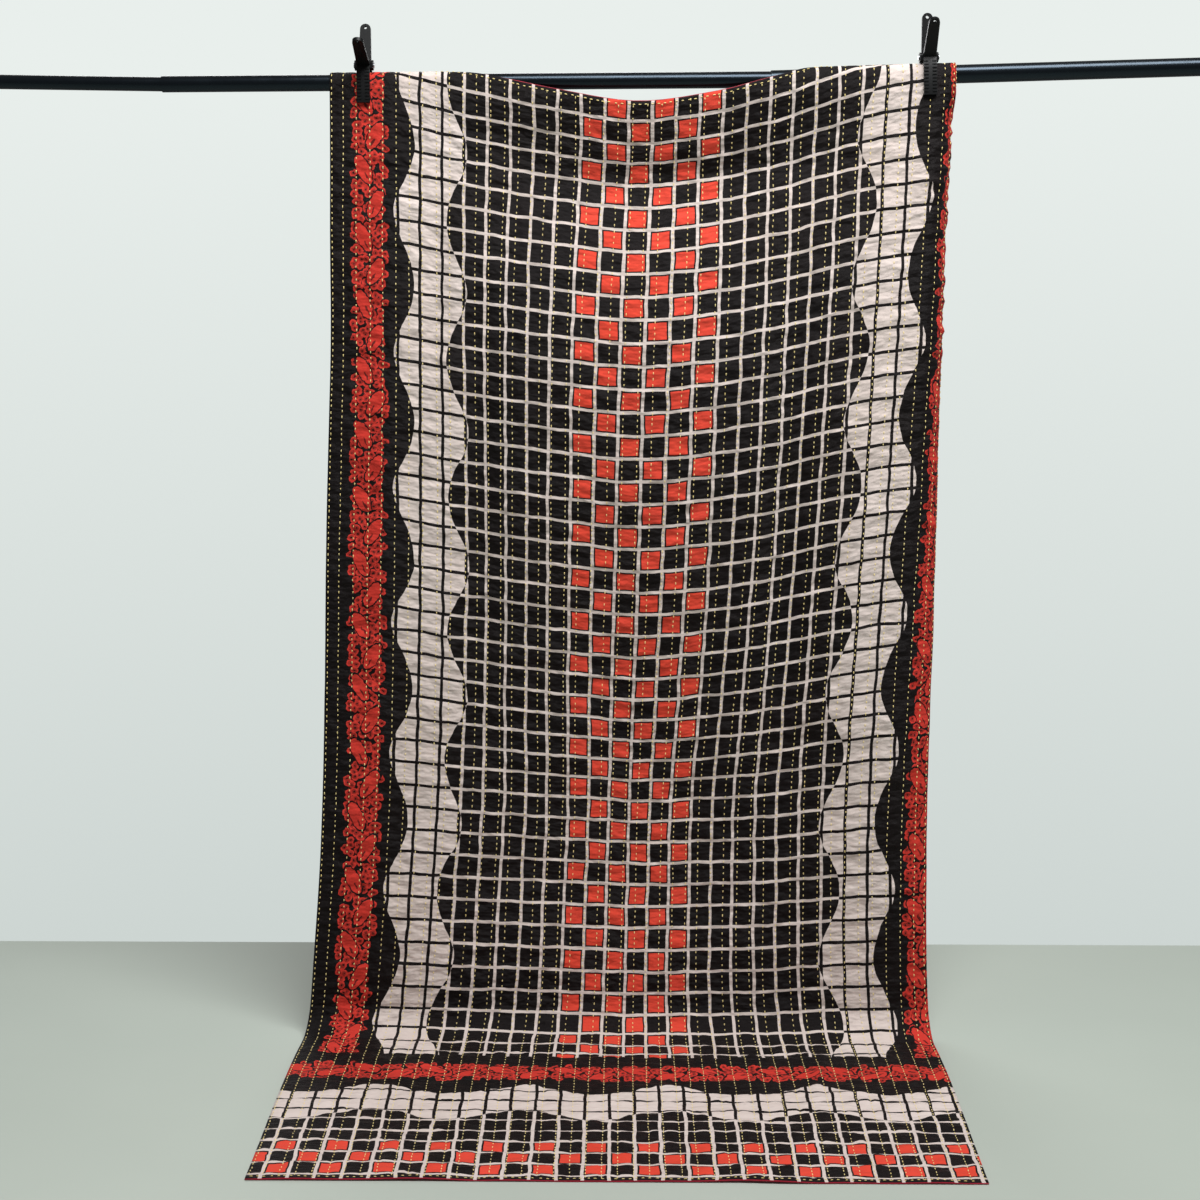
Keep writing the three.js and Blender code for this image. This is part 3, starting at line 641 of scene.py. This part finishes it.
def add(tree, kind, *inputs, **named):
    """Adds a node, such as "Math PINGPONG", with its settings, and feeds its inputs in order or by name."""
    kind, *operation = kind.split()
    node = tree.nodes.new("ShaderNode" + kind)
    if operation:
        node.operation = operation[0]
    for name in [name for name in named if name.islower()]:
        setattr(node, name, named.pop(name))
    fed = list(zip([socket for socket in node.inputs if socket.enabled], inputs))
    fed += [(node.inputs[name.replace("_", " ")], value) for name, value in named.items()]
    for socket, value in fed:
        if isinstance(value, bpy.types.Node):
            value = next(output for output in value.outputs if output.enabled)
        if isinstance(value, bpy.types.NodeSocket):
            tree.links.new(value, socket)
        else:
            socket.default_value = value
    return node


def new_material(name):
    """A material without nodes, and its node tree."""
    material = bpy.data.materials.new(name)
    material.use_nodes = True
    material.node_tree.nodes.clear()
    return material, material.node_tree


def snake(tree, along, crest, half, pinch):
    """A wave that is 1 at its crests, and the half width of a ribbon pinched between them."""
    turn = 2 * math.pi / RIBBON_TURN
    wave = add(tree, "Math COSINE", add(tree, "Math MULTIPLY_ADD", along, turn, -crest * turn))
    squared = add(tree, "Math MULTIPLY", wave, wave)
    return wave, add(tree, "Math MULTIPLY_ADD", squared, pinch, half - pinch)


def check(tree, column, row, ribbon, field, squares):
    """Cream and red of a check: black lines on a ribbon, cream lines on a black field, and red squares."""
    to_column = add(tree, "Math PINGPONG", column, 0.5)
    to_line = add(tree, "Math MINIMUM", to_column, add(tree, "Math PINGPONG", row, 0.5))
    number = add(tree, "Math ADD", add(tree, "Math FLOOR", column), add(tree, "Math FLOOR", row))
    even = add(tree, "Math LESS_THAN", add(tree, "Math PINGPONG", number, 1.0), 0.5)
    on_cream = add(tree, "Math MULTIPLY", ribbon, add(tree, "Math GREATER_THAN", to_line, LINE))
    on_black = add(tree, "Math MULTIPLY", field, add(tree, "Math LESS_THAN", to_line, LINE))
    cream = add(tree, "Math MAXIMUM", on_cream, add(tree, "Math MULTIPLY", on_black, LINE_DYE))
    inset = add(tree, "Math GREATER_THAN", to_line, SQUARE_INSET)
    return cream, add(tree, "Math MULTIPLY", add(tree, "Math MULTIPLY", squares, even), inset)


def long_field(tree, column, row):
    """Cream and red of the long field: a check with red squares between two wavy ribbons."""
    wave, half = snake(tree, row, RIBBONS["crest"], RIBBONS["half"], RIBBONS["pinch"])
    left = add(tree, "Math MULTIPLY_ADD", wave, -RIBBONS["swing"], RIBBONS["left"])
    right = add(tree, "Math MULTIPLY_ADD", wave, RIBBONS["swing"], RIBBONS["right"])
    on_left = add(tree, "Math COMPARE", column, left, half)
    ribbon = add(tree, "Math MAXIMUM", on_left, add(tree, "Math COMPARE", column, right, half))
    past_left = add(tree, "Math GREATER_THAN", column, left)
    inside = add(tree, "Math MULTIPLY", past_left, add(tree, "Math LESS_THAN", column, right))
    field = add(tree, "Math SUBTRACT", inside, ribbon, use_clamp=True)
    squares = add(tree, "Math COMPARE", column, SQUARE_COLUMNS / 2, SQUARE_COLUMNS / 2)
    cream, red = check(tree, column, row, ribbon, field, squares)
    above = add(tree, "Math LESS_THAN", row, PRINT_END)
    return add(tree, "Math MULTIPLY", above, cream), add(tree, "Math MULTIPLY", above, red)


def end_panel(tree, column, row, down):
    """Cream and red of the end panel: a wavy ribbon along the width, then the check with red squares."""
    wave, half = snake(tree, column, END["crest"], END["half"], END["pinch"])
    middle = add(tree, "Math MULTIPLY_ADD", wave, -END["swing"], END["ribbon"])
    ribbon = add(tree, "Math COMPARE", down, middle, half)
    below = add(tree, "Math GREATER_THAN", down, middle)
    field = add(tree, "Math SUBTRACT", below, ribbon, use_clamp=True)
    end_column = add(tree, "Math SUBTRACT", column, END["column"])
    end_row = add(tree, "Math ADD", row, FIRST_ROW - END["line"] / CELL)
    squares = add(tree, "Math COMPARE", end_row, -END["squares"] / 2, END["squares"] / 2)
    return check(tree, end_column, end_row, ribbon, field, squares)


def flowers(tree, flat, across, along):
    """Red of a border of leaves among small flowers, as a share of the full dye."""
    ragged = add(tree, "TexNoise", flat, noise_dimensions="2D", Scale=1 / (RAGGED_SIZE * MM), Detail=2.0)
    shift = (-RAGGED / 2, -RAGGED / 2, 0)
    stray = add(tree, "VectorMath MULTIPLY_ADD", ragged.outputs["Color"], (RAGGED, RAGGED, 0), shift)
    drawn = add(tree, "VectorMath ADD", add(tree, "CombineXYZ", across, along), stray)

    # Small flowers: petals round a shaded heart with a black eye
    spots = add(tree, "TexVoronoi", drawn, voronoi_dimensions="2D", Scale=1 / FLOWER["pitch"],
                Randomness=FLOWER["stray"])
    away = spots.outputs["Distance"]
    petals = add(tree, "Math LESS_THAN", away, FLOWER["radius"])
    heart = add(tree, "Math LESS_THAN", away, FLOWER["heart"])
    eye = add(tree, "Math LESS_THAN", away, FLOWER["eye"])
    shaded = add(tree, "Math MULTIPLY_ADD", heart, -FLOWER["shade"], petals)
    blossom = add(tree, "Math SUBTRACT", shaded, eye, use_clamp=True)
    centre = add(tree, "SeparateXYZ", spots.outputs["Position"])
    within = add(tree, "Math COMPARE", centre.outputs["X"], 0.0, FLOWER["reach"])
    blossom = add(tree, "Math MULTIPLY", blossom, within)

    # Leaves on alternate sides, each with a slit, and a black gap round them
    number = add(tree, "Math FLOOR", add(tree, "Math DIVIDE", along, HALF_REPEAT))
    swap = add(tree, "Math MULTIPLY_ADD", add(tree, "Math PINGPONG", number, 1.0), -2.0, 1.0)
    part = add(tree, "SeparateXYZ", drawn)
    side = add(tree, "Math MULTIPLY", part.outputs["X"], swap)
    place = add(tree, "CombineXYZ", side, add(tree, "Math FLOORED_MODULO", part.outputs["Y"], HALF_REPEAT))
    turn = (0, 0, math.radians(LEAF["turn"]))
    leaf, slit = (
        add(tree, "VectorMath LENGTH", add(
            tree, "Mapping", place, (*form["centre"], 0), turn, (*form["half"], 1), vector_type="TEXTURE"))
        for form in (LEAF, SLIT)
    )
    blade = add(tree, "Math LESS_THAN", leaf, 1.0)
    cut = add(tree, "Math LESS_THAN", slit, 1.0)
    foliage = add(tree, "Math MULTIPLY_ADD", cut, -SLIT["shade"], blade, use_clamp=True)
    around = add(tree, "Math MULTIPLY", blossom, add(tree, "Math GREATER_THAN", leaf, LEAF["gap"]))
    return add(tree, "Math MAXIMUM", foliage, around)


def flower_borders(tree, flat, column, row, down):
    """Red of the flower borders, which run along both edges and across the end."""
    from_axis = add(tree, "Math ABSOLUTE", add(tree, "Math SUBTRACT", column, BORDER["axis"]))
    out = add(tree, "Math MULTIPLY_ADD", from_axis, CELL, -BORDER["out"] * CELL)
    over = add(tree, "Math SUBTRACT", down, END["band"])
    at_end = add(tree, "Math GREATER_THAN", row, PRINT_END)
    across = add(tree, "Mix", at_end, out, over)
    along = add(tree, "Mix", at_end, down, add(tree, "Math MULTIPLY", column, CELL))
    in_band = add(tree, "Math COMPARE", across, 0.0, BORDER["half"])
    return add(tree, "Math MULTIPLY", in_band, flowers(tree, flat, across, along))


def cotton_bump(tree, flat):
    """Fine wrinkles across the channels, and the weave."""
    stretched = add(tree, "VectorMath MULTIPLY", flat, (1 / (WRINKLE[0] * MM), 1 / (WRINKLE[1] * MM), 0))
    wrinkles = add(tree, "TexNoise", stretched, noise_dimensions="2D", Scale=1.0, Detail=1.0, Roughness=0.5)
    thread = 2 * math.pi / (WEAVE * MM)
    waves = add(tree, "VectorMath SINE", add(tree, "VectorMath MULTIPLY", flat, (thread, thread, 0)))
    parts = add(tree, "SeparateXYZ", waves)
    weave = add(tree, "Math MULTIPLY", parts.outputs["X"], parts.outputs["Y"])
    height = add(tree, "Math MULTIPLY_ADD", weave, WEAVE_SHARE, wrinkles)
    return add(tree, "Bump", Strength=1.0, Distance=WRINKLE_DEPTH * MM, Height=height)


def printed_cotton():
    """Block-printed plain cotton: dull, with inked edges that waver and blacks washed towards brown."""
    material, tree = new_material("Block-printed cotton")
    flat = add(tree, "UVMap", uv_map=FLAT_MAP)
    waver = add(tree, "TexNoise", flat, noise_dimensions="2D", Scale=1 / (WAVER_SIZE * MM), Detail=2.0,
                Roughness=0.45)
    shift = (-WAVER / 2, -WAVER / 2, 0)
    stray = add(tree, "VectorMath MULTIPLY_ADD", waver.outputs["Color"], (WAVER, WAVER, 0), shift)
    checks = (1 / (CELL * MM), 1 / (CELL * MM), 0)
    cells = add(tree, "VectorMath MULTIPLY_ADD", flat, checks, (AXIS_COLUMN, -FIRST_ROW, 0))
    place = add(tree, "SeparateXYZ", add(tree, "VectorMath ADD", cells, stray))
    column, row = place.outputs["X"], place.outputs["Y"]
    down = add(tree, "Math MULTIPLY_ADD", row, CELL, FIRST_ROW * CELL)
    cream_long, red_long = long_field(tree, column, row)
    cream_end, red_end = end_panel(tree, column, row, down)
    cream = add(tree, "Math MAXIMUM", cream_long, cream_end)
    red = add(tree, "Math MAXIMUM", red_long, red_end)
    border = flower_borders(tree, flat, column, row, down)

    # Dyes, faded in patches, one printed over another
    fade = 1 / (PATCH["print_fade"] * MM)
    faded = add(tree, "TexNoise", flat, noise_dimensions="2D", Scale=fade, Detail=4.0, Roughness=0.6)
    dyes = {
        name: add(tree, "Mix", faded, colour(fresh), colour(worn), data_type="RGBA")
        for name, (fresh, worn) in DYES.items()
    }
    dyed = dyes["black"]
    for mask, name in ((cream, "cream"), (red, "red"), (border, "border")):
        dyed = add(tree, "Mix", mask, dyed, dyes[name], data_type="RGBA")
    bare = add(tree, "Math MAXIMUM", add(tree, "Math MAXIMUM", cream, red), border)
    rough = add(tree, "MapRange", bare, 0.0, 1.0, DYED_ROUGH, BARE_ROUGH)
    shader = add(tree, "BsdfPrincipled", Base_Color=dyed, Roughness=rough, Normal=cotton_bump(tree, flat),
                 Specular_IOR_Level=0.13, Sheen_Weight=0.03, Sheen_Roughness=0.4)
    add(tree, "OutputMaterial", shader)
    return material


def backing_cotton():
    """Plain dyed cotton of the back: dull crimson, a little uneven."""
    material, tree = new_material("Crimson cotton")
    flat = add(tree, "UVMap", uv_map=FLAT_MAP)
    fade = 1 / (PATCH["back_fade"] * MM)
    faded = add(tree, "TexNoise", flat, noise_dimensions="2D", Scale=fade, Detail=4.0, Roughness=0.6)
    dyed = add(tree, "Mix", faded, *map(colour, BACKING), data_type="RGBA")
    shader = add(tree, "BsdfPrincipled", Base_Color=dyed, Roughness=0.9, Normal=cotton_bump(tree, flat),
                 Specular_IOR_Level=0.25, Sheen_Weight=0.12, Sheen_Roughness=0.5)
    add(tree, "OutputMaterial", shader)
    return material


def stitch_thread():
    """Two-ply cotton thread: soft yellow, paler where it has worn."""
    material, tree = new_material("Cotton thread")
    place = add(tree, "TexCoord").outputs["Object"]
    worn = add(tree, "TexNoise", place, Scale=1 / (PATCH["thread_wear"] * MM), Detail=3.0)
    dyed = add(tree, "Mix", worn, *map(colour, THREAD), data_type="RGBA")
    shader = add(tree, "BsdfPrincipled", Base_Color=dyed, Roughness=0.8, Specular_IOR_Level=0.3,
                 Sheen_Weight=0.2)
    add(tree, "OutputMaterial", shader)
    return material


def bar_enamel():
    """Black satin enamel on tube: an even dark gloss with a faint orange peel, and reflections tinted pale
    blue, a painted colour of a bluish light.
    """
    material, tree = new_material("Satin black enamel")
    place = add(tree, "TexCoord").outputs["Object"]
    peel = add(tree, "TexNoise", place, Scale=1 / (PATCH["enamel_peel"] * MM), Detail=2.0)
    bump = add(tree, "Bump", Strength=0.1, Distance=PEEL_DEPTH * MM, Height=peel)
    scuffs = add(tree, "TexNoise", place, Scale=1 / (PATCH["enamel_scuff"] * MM), Detail=5.0)
    rough = add(tree, "MapRange", scuffs, *NOISE_SPAN, *ENAMEL_ROUGH)
    # Specular tint: painted pale blue reflection, the colour of a bluish light
    shader = add(tree, "BsdfPrincipled", Base_Color=colour(ENAMEL), Roughness=rough, Normal=bump,
                 Specular_IOR_Level=0.5, Specular_Tint=colour(ENAMEL_PAINTED_BLUE_REFLECTION))
    add(tree, "OutputMaterial", shader)
    return material


def clamp_nylon():
    """Moulded black nylon: satin, with a fine spark-eroded grain drawn at 1.2 mm so that it shows."""
    material, tree = new_material("Moulded nylon")
    place = add(tree, "TexCoord").outputs["Object"]
    grain = add(tree, "TexNoise", place, Scale=1 / (PATCH["nylon_grain"] * MM), Detail=2.0)
    bump = add(tree, "Bump", Strength=0.25, Distance=GRAIN_DEPTH * MM, Height=grain)
    rough = add(tree, "MapRange", grain, *NOISE_SPAN, *NYLON_ROUGH)
    shader = add(tree, "BsdfPrincipled", Base_Color=colour(NYLON), Roughness=rough, Normal=bump,
                 Specular_IOR_Level=0.2)
    add(tree, "OutputMaterial", shader)
    return material


def clamp_steel():
    """Zinc-plated spring steel: pale grey with a dull bloom."""
    material, tree = new_material("Zinc-plated steel")
    place = add(tree, "TexCoord").outputs["Object"]
    bloom = add(tree, "TexNoise", place, Scale=1 / (PATCH["steel_bloom"] * MM), Detail=3.0)
    rough = add(tree, "MapRange", bloom, *NOISE_SPAN, *STEEL_ROUGH)
    shader = add(tree, "BsdfPrincipled", Base_Color=colour(STEEL), Metallic=1.0, Roughness=rough)
    add(tree, "OutputMaterial", shader)
    return material


def floor_paint():
    """Painted floor: pale and matt, slightly cloudy."""
    material, tree = new_material("Pale floor paint")
    place = add(tree, "TexCoord").outputs["Object"]
    cloud = add(tree, "TexNoise", place, Scale=1 / (PATCH["floor_cloud"] * MM), Detail=3.0)
    paint = add(tree, "Mix", cloud, *map(colour, FLOOR_PAINT), data_type="RGBA")
    shader = add(tree, "BsdfPrincipled", Base_Color=paint, Roughness=0.6, Specular_IOR_Level=0.3)
    add(tree, "OutputMaterial", shader)
    return material


# The quilt and its stitching
columns = np.linspace(EDGE_LEFT, EDGE_RIGHT, FACE_COLUMNS + 1)
mesh_across, mesh_at = np.meshgrid(columns, np.linspace(0, LENGTH, ROWS + 1))
ripple = cloth_ripple(mesh_across, mesh_at)
face_height = ripple + face_relief(mesh_across, mesh_at)
back_height = ripple - CORE / 2
quilt = make_quilt(mesh_across, mesh_at, face_height, back_height, printed_cotton(), backing_cotton())
thread = stitch_thread()
across, at, half = running_places()
face_stitches = make_stitches("stitches_face", (across, at, half), (0, 1), face_height, 1, thread)
clear = hung_point(across, at + STITCH_PITCH)[:, 2] > FLOOR + FLOOR_CLEAR
back_places = (across[clear], at[clear] + STITCH_PITCH / 2, half[clear] * BACK_LENGTH)
back_stitches = make_stitches("stitches_back", back_places, (0, 1), back_height, -1, thread)
hem_stitches = make_stitches("stitches_hem", hem_places(), (1, 0), face_height, 1, thread)
for piece in (quilt, face_stitches, back_stitches, hem_stitches):
    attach(piece, "root")
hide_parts("quilt")

# The crossbar and the clamps
enamel = bar_enamel()
for name in ("rod_left", "rod_middle", "rod_right"):
    dress_node(name, enamel, TUBE_EDGE)
nylon = clamp_nylon()
steel = clamp_steel()
for clamp in CLAMPS:
    name = "clamp_" + clamp["side"]
    for lever, side in (("front", -1), ("back", 1)):
        dress_node(f"{name}_{lever}_lever", nylon, LEVER_EDGE)
        ribs = make_ribs(clamp, side, nylon)
        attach(ribs, "root")
    dress_node(name + "_pin", steel, PIN_EDGE)
    dress_node(name + "_spring", steel, SPRING_EDGE)

# Floor
floor_ends = ((-1, FLOOR_FRONT), (1, FLOOR_FRONT), (1, FLOOR_BACK), (-1, FLOOR_BACK))
floor_corners = [(side * FLOOR_SIDE, end, FLOOR - FLOOR_DROP) for side, end in floor_ends]
floor = make_object("floor", floor_corners, [(0, 1, 2, 3)], floor_paint(), smooth=False)

# Soft lights
for light in LIGHTS:
    box = bpy.data.lights.new(light["name"], "AREA")
    box.shape = "RECTANGLE"
    box.size, box.size_y = (side * MM for side in light["size"])
    box.energy = light["power"]
    lamp = bpy.data.objects.new(light["name"], box)
    bpy.context.scene.collection.objects.link(lamp)
    lamp.location = Vector(light["place"]) * MM
    facing = Vector(light["target"]) - Vector(light["place"])
    lamp.rotation_euler = facing.to_track_quat("-Z", "Y").to_euler()

# Pale surround, which lights the quilt evenly and is seen as a wall with painted shade, darker low down and
# paler high up
world = bpy.data.worlds.new("studio")
world.use_nodes = True
sky = world.node_tree
sky.nodes.clear()
direction = add(sky, "SeparateXYZ", add(sky, "TexCoord").outputs["Generated"])
# Painted shade: the wall seen by the camera is darker towards the bottom and paler towards the top
rise = add(sky, "MapRange", direction.outputs["Z"], *WALL_PAINTED_SHADE_SPAN)
wall_with_painted_shade = add(sky, "Mix", rise, colour(WALL_PAINTED_SHADE_LOW), colour(WALL_PAINTED_LIT_HIGH), data_type="RGBA")
lighting = add(sky, "Background", colour(SKY), SKY_STRENGTH)
shown = add(sky, "Background", wall_with_painted_shade, 1.0)
seen = add(sky, "LightPath").outputs["Is Camera Ray"]
add(sky, "OutputWorld", add(sky, "MixShader", seen, lighting, shown))
bpy.context.scene.world = world

# Camera
view = bpy.data.cameras.new("photo_view")
view.lens, view.sensor_width = LENS, SENSOR
camera = bpy.data.objects.new("photo_view", view)
bpy.context.scene.collection.objects.link(camera)
camera.location = [c * MM for c in CAMERA_PLACE]
camera.rotation_euler = (math.radians(90 - CAMERA_PITCH), 0, math.radians(CAMERA_YAW))
bpy.context.scene.camera = camera
bpy.context.scene.view_settings.view_transform = "Standard"
